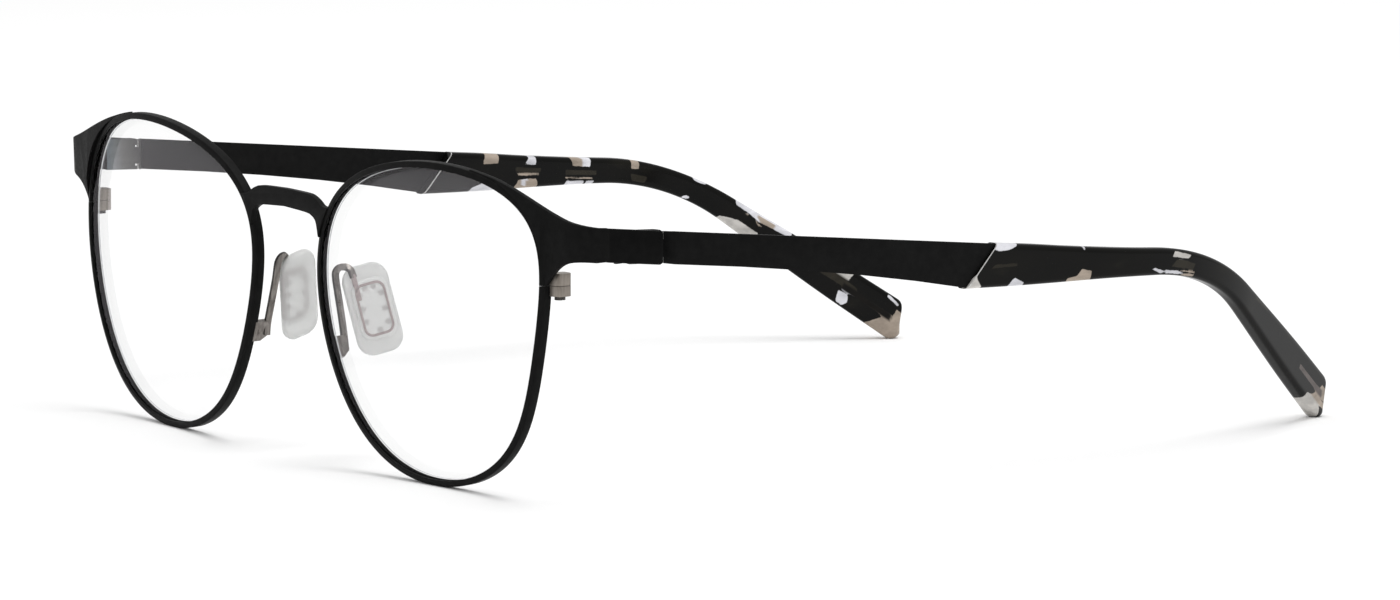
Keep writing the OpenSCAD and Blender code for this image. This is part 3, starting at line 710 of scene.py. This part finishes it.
def arm_foot(shape):
    """The foot follows the back of the rim, and its upper and lower sides are dark."""
    rings = []
    for f in steps(0, 1, 12):
        t, far = FOOT_ANGLE + FOOT_SPAN * f, FOOT_FAR
        if f < 0.12:
            far -= 0.3 * (1 - f / 0.12)
        if f > 0.72:
            far -= 1.05 * (f - 0.72) / 0.28
        mid = (FOOT_NEAR + far) / 2
        rings.append([front(rim_edge(t, FOOT_OUT + p.x), mid + p.y)
                      for p in rounded(FOOT_T, far - FOOT_NEAR, 0.12, 3)])
    start = len(shape.faces)
    shape.loft(rings)
    for i, face in enumerate(shape.faces[start:], start):
        if len(face) == 4:
            a, b, c = (shape.verts[k] for k in face[:3])
            if abs((b - a).cross(c - b).normalized().y) > 0.75:
                shape.mats[i] = 1


def pad_ring(shape):
    """The stamped ring, its stem and its tabs, which the pad is moulded round."""
    rear = PAD_T / 2
    middle = rear - RING_T / 2
    line = rounded(RING_W - RING_BAND, RING_H - RING_BAND, 1.15, 8)
    band = []
    for i, p0 in enumerate(line):
        along = (line[(i + 1) % len(line)] - line[i - 1]).normalized()
        outward = Vector((along.y, -along.x))
        band.append([in_pad(p0.x + outward.x * p.x, p0.y + outward.y * p.x, middle + p.y)
                     for p in rounded(RING_BAND, RING_T, 0.12, 2)])
    shape.loft(band, mat=2, closed=True)
    stem = [[in_pad(STEM_X + p.x - 0.06, y, middle + p.y) for p in rounded(0.72, RING_T, 0.12, 2)]
            for y in steps(1.6, 5.4, 8)]
    shape.loft(stem, mat=2)
    for tx, ty in TABS:
        cx, cy = tx * (RING_W / 2 - 0.72), ty * (RING_H / 2 - 0.72)
        tab = []
        for rad, depth in ((0.2, 0.3), (0.38, 0.32), (0.44, 0.38), (0.44, 0.48), (0.38, 0.52), (0.2, 0.54)):
            turns = (2 * pi * k / 16 for k in range(16))
            tab.append([in_pad(cx + rad * cos(a), cy + rad * sin(a), rear - depth) for a in turns])
        shape.loft(tab, mat=2)


def make_arm(label, side):
    shape = Shape()
    arm_strip(shape)
    arm_foot(shape)
    pad_ring(shape)
    shape.piece(f"pad_wire_{label}", side, "front", [ARM, ARM_EDGE, RING], [f"pad_arm_{label}"])


# ---- Temple tips ------------------------------------------------------------
PLAN_START, PLAN_R, INSET, STRIP_FACE = 95, 60, 26, 69.4
PLAN_END = PLAN_START + PLAN_R * radians(INSET)
BEND_START, TIP_R, DROP, START_ANGLE, LEG = 100, 41, 34, 3, 32.6
SEAM_MID = Vector((68.95, 29.1))
RUN = BEND_START - SEAM_MID.x
ARC = TIP_R * radians(DROP - START_ANGLE)
TIP_LEN = RUN + ARC + LEG
TIP_T, TIP_OUTER, END_ROUND, CORNER = 2.5, 0.35, 1.7, 0.75
SEAM_LEAN, SEAM_LEAN_LEN, END_LEAN, END_LEAN_LEN = 2.5, 14, -0.9, 9
# The tip's width at distances from the seam.
WIDTHS = ((0, 6.3), (8, 5.75), (18, 4.75), (27, 4.05), (36, 3.75), (44, 3.65), (50, 3.8), (57, 4.3),
          (65, 5.05), (74, 5.7), (90, 6.2))


def plan(s):
    """The temple seen from above: its direction and place at a distance s."""
    a = 0 if s < PLAN_START else min((s - PLAN_START) / PLAN_R, radians(INSET))
    past = max(s - PLAN_END, 0)
    return a, Vector((STRIP_FACE - PLAN_R * (1 - cos(a)) - past * sin(a),
                      min(s, PLAN_START) + PLAN_R * sin(a) + past * cos(a)))


def bent(s, z, o):
    """A point of the flat side view, s along and z up, bent to the plan and moved out by o."""
    a, c = plan(s)
    return Vector((c.x + o * cos(a), c.y + o * sin(a), z))


def tip_angle(u):
    return radians(START_ANGLE + (DROP - START_ANGLE) * min(max((u - RUN) / ARC, 0), 1))


def tip_centre(u):
    a, s = tip_angle(u), radians(START_ANGLE)
    past, first = max(u - RUN - ARC, 0), min(u, RUN)
    return (SEAM_MID + first * Vector((cos(s), -sin(s))) + TIP_R * Vector((sin(a) - sin(s), cos(a) - cos(s)))
            + past * Vector((cos(a), -sin(a))))


def eased(points, u):
    """A smooth curve through (place, value) points."""
    for (a, va), (b, vb) in zip(points, points[1:]):
        if u <= b:
            break
    i = points.index((a, va))
    before = points[i - 1] if i else (2 * a - b, 2 * va - vb)
    after = points[i + 2] if i + 2 < len(points) else (2 * b - a, 2 * vb - va)
    f = (u - a) / (b - a)
    m0 = (vb - before[1]) / (b - before[0]) * (b - a)
    m1 = (after[1] - va) / (after[0] - a) * (b - a)
    return ((2 * f ** 3 - 3 * f * f + 1) * va + (f ** 3 - 2 * f * f + f) * m0
            + (3 * f * f - 2 * f ** 3) * vb + (f ** 3 - f * f) * m1)


def tip_lean(u):
    """How far a section leans: the seam and the end are cut at a slant."""
    if u < SEAM_LEAN_LEN:
        return SEAM_LEAN * (1 - u / SEAM_LEAN_LEN)
    return END_LEAN * (u - TIP_LEN + END_LEAN_LEN) / END_LEAN_LEN if u > TIP_LEN - END_LEAN_LEN else 0.0


def rounded_off(size, r, gap):
    """A half size that rounds off with radius r as the gap to the end closes."""
    return size if gap >= r else size - r + sqrt(max(r * r - (r - gap) ** 2, 0))


def tip_section(h, t):
    """A flat section with rounded edges."""
    r = min(CORNER, t * 0.95, h * 0.95)
    out = []
    for sx, sy, start in ((1, -1, 270), (1, 1, 0), (-1, 1, 90), (-1, -1, 180)):
        for a in steps(start, start + 90, 7):
            out.append(Vector((sx * (t - r) + r * cos(radians(a)), sy * (h - r) + r * sin(radians(a)))))
        nxt = {(1, -1): (1, 0), (1, 1): (0, 1), (-1, 1): (-1, 0), (-1, -1): (0, -1)}[(sx, sy)]
        if nxt[0]:
            for f in steps(-1, 1, 12)[1:-1]:
                out.append(Vector((nxt[0] * t, nxt[0] * f * (h - r))))
        else:
            for f in steps(-1, 1, 4)[1:-1]:
                out.append(Vector((-nxt[1] * f * (t - r), nxt[1] * h)))
    return out


# Chips in the acetate: tone, then corners as (distance along the tip, height across it from -1 to 1).
TONES = {"white": (0.72, 0.72, 0.76), "beige": (0.4, 0.335, 0.275), "pearl": (0.58, 0.56, 0.53),
         "olive": (0.026, 0.023, 0.017)}
CHIPS = {
    "left": (
        ("white", (0.4, 0.76), (1.6, 0.66), (3.6, 0.73), (4.6, 0.92), (4.6, 1.4), (0.4, 1.4)),
        ("pearl", (-0.6, -0.6), (0.3, -0.38), (2.3, -0.93), (2.3, -1.4), (0.7, -1.4)),
        ("white", (6.7, -0.55), (8.5, -0.82), (8.8, -1.4), (5.9, -1.4)),
        ("beige", (15, -1.4), (15.2, -0.78), (17, -0.66), (17.7, -0.3), (19.5, -0.42), (19.1, -1.4)),
        ("white", (17.6, 1.4), (17.8, 0.84), (18.2, 0.82), (18.1, 1.4)),
        ("pearl", (34, 0.4), (34.4, 0.8), (37.8, 0.7), (37.5, 0.42), (35.8, 0.36)),
        ("white", (30.2, -0.52), (30.8, -0.44), (32.8, -0.72), (31.9, -0.86)),
        ("white", (32.8, -0.6), (35.2, -0.62), (36.6, -0.76), (35.8, -0.86), (32.9, -0.86)),
        ("beige", (35.4, -0.54), (39, -0.5), (39, -0.62), (36.4, -0.64)),
        ("beige", (36.8, -0.76), (39, -0.72), (38.8, -0.9), (36.2, -0.96)),
        ("olive", (2, -0.12), (6.5, -0.02), (6.4, 0.12), (2.6, 0.08)),
        ("olive", (34, -0.35), (38.5, -0.4), (39, 0.1), (35, 0.25)),
        ("olive", (56, 0.5), (61, 0.62), (61, 0.76), (56.4, 0.68)),
        ("pearl", (78.7, -1.4), (79.5, -0.64), (80.7, -0.56), (84, -0.62), (85.2, -1.4)),
        ("beige", (80.9, -0.52), (83.2, -0.6), (86.4, -0.5), (86.4, -0.3), (82.2, -0.2)),
        ("beige", (82.2, -0.16), (84.1, 0.42), (86.4, 0.42), (86.4, -0.2)),
    ),
    "right": (
        ("beige", (7, 1.4), (7.2, 0.46), (10.2, 0.5), (10, 1.4)),
        ("white", (15.5, 0.48), (16.2, 0.9), (16.2, 1.4), (17.5, 1.4), (17.5, 0.46)),
        ("beige", (23.7, 1.4), (24.3, 0.4), (26, 0.36), (26, 1.4)),
        ("white", (26, 0.36), (27.5, 0.34), (27.9, 1.4), (26, 1.4)),
        ("beige", (34.8, 1.4), (35, 0.32), (36.3, 0.36), (36.3, 1.4)),
        ("white", (45.3, 1.4), (45.6, 0.8), (47.4, 0.84), (49.5, 1.4)),
        ("white", (53.2, 1.4), (53.2, 0.72), (56, 0.66), (58, 0.5), (59.4, 0.6), (63.3, 0.66), (63.6, 1.4)),
        ("beige", (57, 0.9), (58, 0.5), (60.4, 0.62), (60.6, 0.92)),
        ("white", (6.9, -1.4), (6.8, -0.78), (8.4, -0.55), (10.3, -0.68), (12.2, -0.8), (12.2, -1.4)),
        ("beige", (13, -1.4), (14.4, -0.44), (17.8, -0.42), (18.1, -1.4)),
        ("white", (14.7, -0.46), (16, -0.44), (15.6, -0.86), (14.9, -0.78)),
        ("white", (22.9, -1.4), (23.2, -0.68), (26.6, -0.72), (26.5, -1.4)),
        ("white", (27, -1.4), (27, -0.74), (28.4, -0.74), (28.3, -1.4)),
        ("beige", (14.2, -0.06), (18.2, -0.1), (18.2, -0.22), (14.3, -0.2)),
        ("beige", (23, -0.4), (28.2, -0.5), (28.2, -0.6), (23, -0.5)),
        ("olive", (13.8, 0.3), (18.4, 0.25), (18.4, 0), (13.8, 0.02)),
        ("olive", (23, 0.1), (28.8, 0.05), (28.8, -0.3), (23, -0.25)),
        ("olive", (35, -0.1), (38, -0.15), (37.8, -0.7), (35.4, -0.66)),
        ("white", (44.7, -0.98), (45.3, -0.6), (46.1, -0.62), (45.8, -0.9)),
        ("pearl", (51.7, -1.4), (52, -0.74), (55, -0.18), (58.8, -0.2), (58.6, -1.4)),
        ("beige", (55.1, 0.5), (55.9, 0.56), (55.8, 0.42)),
        ("beige", (57.4, 0.44), (58.7, 0.34), (58.4, 0.2)),
        ("white", (74.2, -0.3), (76, -0.25), (76.5, -0.56), (76, -0.9), (74.8, -0.86)),
        ("pearl", (71.5, 1.4), (72.4, 0.42), (74.8, 0.46), (75.2, 1.4)),
        ("olive", (69, -0.05), (72.6, 0.42), (76.8, 0.3), (76.4, -0.02)),
        ("beige", (80, -1.4), (80.4, -0.88), (82.2, -0.24), (83.7, -0.14), (84.1, 0.5), (86.4, 0.5),
         (86.4, -1.4)),
        ("white", (81.7, 0.82), (83.9, 0.68), (84.3, 0.78), (82, 0.96)),
    ),
}
# The core that shows near the tip's end: its tone on each side, half its width, and how long it is.
CORE_TONES = {"left": (0.12, 0.1, 0.094), "right": (0.006, 0.005, 0.004)}
CORE_HALF, CORE_LEN, CORE_END = 0.48, 11, 2.2


def chip_distance(u, v, h, corners):
    """How far inside a chip a point is, in millimetres, below zero outside."""
    inside, nearest = False, 1e9
    x, y = u, v * h
    points = [(a, b * h) for a, b in corners]
    for (x0, y0), (x1, y1) in zip(points, points[1:] + points[:1]):
        if (y0 > y) != (y1 > y) and x < (x1 - x0) * (y - y0) / (y1 - y0) + x0:
            inside = not inside
        dx, dy = x1 - x0, y1 - y0
        f = max(0.0, min(1.0, ((x - x0) * dx + (y - y0) * dy) / (dx * dx + dy * dy)))
        nearest = min(nearest, hypot(x - x0 - f * dx, y - y0 - f * dy))
    return nearest if inside else -nearest


def acetate_at(label, u, p, half):
    """How deep in a chip or the core a point of a section is, and the tone there."""
    best, tone = -5.0, (0.4, 0.34, 0.28)
    for chip in CHIPS[label]:
        d = chip_distance(u + 0.25 * p.x, p.y / half, half, chip[1:])
        if d > best or (0.02 < d and chip[0] in ("beige", "white")):
            best, tone = (max(d, best), TONES[chip[0]]) if d > 0 or best < 0 else (best, tone)
    core = CORE_HALF - hypot(p.y, max(u - (TIP_LEN - CORE_END), 0))
    if u > TIP_LEN - CORE_LEN and core > -0.15:
        share = min(max((core + 0.1) / 0.2, 0), 1)
        tone = tuple(x + (y - x) * share for x, y in zip(tone, CORE_TONES[label]))
        best = max(best, core)
    return best, tone


def make_tip(label, side):
    shape = Shape()
    depths, tints, rings = [], [], []
    stations = [0.02] + steps(0.24, TIP_LEN - END_ROUND, 210)
    stations += [TIP_LEN - END_ROUND * (1 - sin(radians(a))) for a in steps(0, 88, 14)[1:]]
    for u in stations:
        half = eased(WIDTHS, u) / 2
        h = rounded_off(half, END_ROUND, TIP_LEN - u)
        t = rounded_off(TIP_T / 2, 0.9, TIP_LEN - u)
        a, c, lean = tip_angle(u), tip_centre(u), tip_lean(u)
        ring = []
        for p in tip_section(h, t):
            s = c.x + p.y * sin(a) + lean * p.y / h * cos(a)
            z = c.y + p.y * cos(a) - lean * p.y / h * sin(a)
            ring.append(bent(s, z, TIP_OUTER - TIP_T / 2 + p.x))
            depth, tone = acetate_at(label, u, p, half)
            depths.append(depth)
            tints += [*tone, 1.0]
        rings.append(ring)
    shape.loft(rings)
    # the first strip of side faces is painted pale: a painted highlight along the seam
    for i in range(len(rings[0])):
        shape.mats[i] = 1
    shape.piece(f"acetate_tip_{label}", side, f"temple_{label}", [ACETATE, SEAM_HIGHLIGHT_AND_BARE_EDGE],
                [f"temple_tip_{label}"], values=(("chip_depth", "FLOAT", depths),
                                                 ("chip_tint", "FLOAT_COLOR", tints)))


# ---- Everything -------------------------------------------------------------
# The stretch of the temple with the bare hinge plate, and the slots' walls in it.
PLATE_START, PLATE_STOP = 10.9, 17.2
SLOT_START, SLOT_STOP, SLOT_HEIGHTS = 15.5, 16.45, ((33.1, 34.1), (36.4, 37.45))


def temple_finish(side):
    """Chooses bare cut metal in the slots, the plate's steel with its painted sheen and shade on its inner
    face, or black.
    """
    def choose(centre, normal):
        y = centre.y + DEPTH_MIDDLE
        in_slot = any(low < centre.z < high for low, high in SLOT_HEIGHTS)
        if SLOT_START < y < SLOT_STOP and abs(normal.x) < 0.3 and in_slot:
            return 2
        return 1 if normal.x * side < -0.6 and PLATE_START < y < PLATE_STOP else 0
    return choose


for label, side in SIDES:
    make_rim(label, side)
    make_lens(label, side)
    make_endpiece(label, side)
    make_pad(label, side)
    make_arm(label, side)
    make_tip(label, side)
    for half in ("upper", "lower"):
        finished(f"closing_block_{half}_{label}", f"block_{half}_{label}", "front", [BLOCK], 0.07)
    finished(f"closing_screw_{label}", f"screw_{label}", "front", [SCREW], 0.05)
    finished(f"hinge_bracket_{label}", f"bracket_{label}", "front", [BLACK], 0.06)
    finished(f"hinge_pin_{label}", f"pin_{label}", "front", [SCREW], 0.06)
    finished(f"temple_{label}", f"temple_sheet_{label}", f"temple_{label}",
             [BLACK, SHEENED_PLATE, SEAM_HIGHLIGHT_AND_BARE_EDGE], 0.07, choose=temple_finish(side))
bridge_piece()


# ---- Floor, light and camera ------------------------------------------------
def floor():
    mesh = bpy.data.meshes.new("floor")
    half = 30
    mesh.from_pydata([(-half, -half, 0), (half, -half, 0), (half, half, 0), (-half, half, 0)], [],
                     [(0, 1, 2, 3)])
    look = Look("floor_white", Roughness=0.9, Specular_IOR_Level=0.0)
    look.set("Base Color", look.ramp(look.noise(3, 2), (0.3, (0.955,) * 3), (0.7, (0.965,) * 3)))
    mesh.materials.append(look.mat)
    add_object("floor", mesh)


def area_light(name, place, aim, size, power):
    data = bpy.data.lights.new(name, "AREA")
    data.shape, data.size, data.energy = "DISK", size, power
    obj = add_object(name, data)
    obj.location = place
    obj.rotation_euler = (Vector(aim) - Vector(place)).to_track_quat("-Z", "Y").to_euler()


floor()
world = bpy.data.worlds.new("studio")
world.use_nodes = True
world.node_tree.nodes["Background"].inputs["Color"].default_value = (1, 1, 1, 1)
world.node_tree.nodes["Background"].inputs["Strength"].default_value = 0.75
bpy.context.scene.world = world
area_light("top_softbox", (0.15, 0.15, 1.4), (0, 0, 0), 0.9, 9)

AZIMUTH, ELEVATION, DISTANCE = radians(55), radians(7.42), 1.229
CAMERA_AIM, FOCAL_LENGTH = Vector((0, -0.0008, 0.0169)), 217.95
back = Vector((sin(AZIMUTH) * cos(ELEVATION), -cos(AZIMUTH) * cos(ELEVATION), sin(ELEVATION)))
camera_data = bpy.data.cameras.new("camera")
camera_data.sensor_width = 36
camera_data.lens = FOCAL_LENGTH
camera_data.clip_start, camera_data.clip_end = 0.01, 100
camera = add_object("camera", camera_data)
camera.location = CAMERA_AIM + back * DISTANCE
camera.rotation_euler = (-back).to_track_quat("-Z", "Y").to_euler()
bpy.context.scene.camera = camera
bpy.context.scene.view_settings.view_transform = "Standard"
